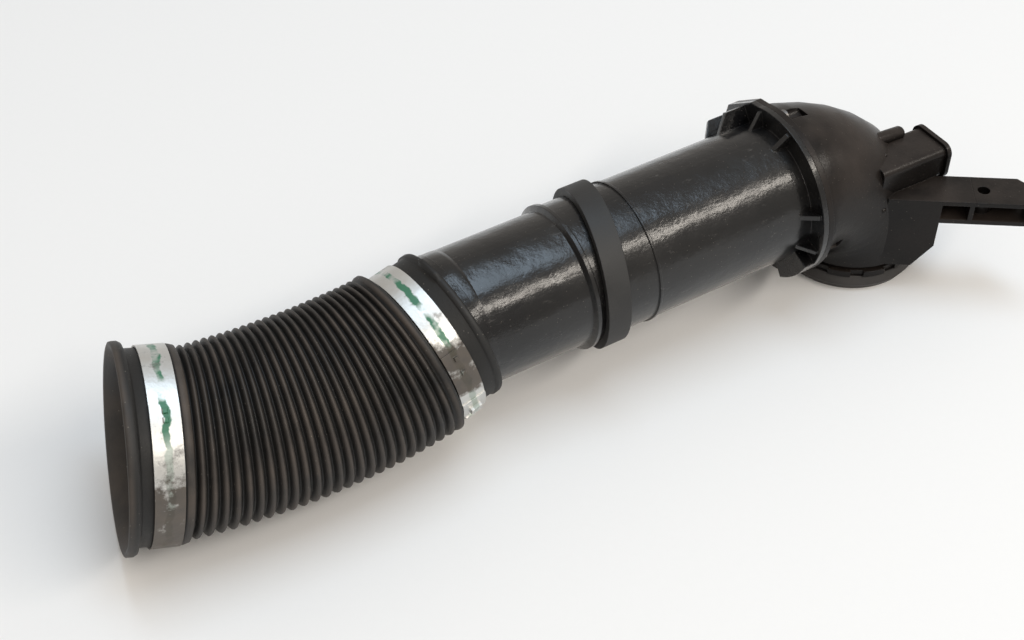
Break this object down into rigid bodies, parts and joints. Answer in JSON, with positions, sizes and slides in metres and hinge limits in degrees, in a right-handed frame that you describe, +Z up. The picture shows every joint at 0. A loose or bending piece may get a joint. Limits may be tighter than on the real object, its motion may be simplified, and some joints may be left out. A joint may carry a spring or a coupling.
{
  "type": "air intake duct",
  "caption": "Engine air intake duct: a corrugated rubber hose with band clamps, a moulded tube with a support band and a flanged elbow with outlet seal and bracket arm.",
  "frame": {"origin": "centre of the outlet on the floor plane, at the foot of the outlet seal", "axes": "+X along the tube in plan from the hose towards the elbow, +Z up, as the duct lies in the picture"},
  "size_m": [0.4879, 0.1314, 0.1046],
  "materials": {
    "hose_rubber": "matte, dusty",
    "clamp_steel": "bright strip with dirt",
    "tube_plastic": "semi-gloss black",
    "band_rubber": "matte",
    "seal_rubber": "matte",
    "elbow_plastic": "satin black",
    "screw_steel": "dull zinc"
  },
  "bodies": {
    "root": {"bellows_hose": "hose_rubber", "front_band_clamp": "clamp_steel", "rear_band_clamp": "clamp_steel", "intake_tube": "tube_plastic", "support_band": "band_rubber", "joint_seal": "seal_rubber", "elbow": "elbow_plastic", "bracket_end": "elbow_plastic", "chamber_cover": "elbow_plastic", "outlet_seal": "seal_rubber", "flange_screws": "screw_steel"}
  },
  "joints": []
}
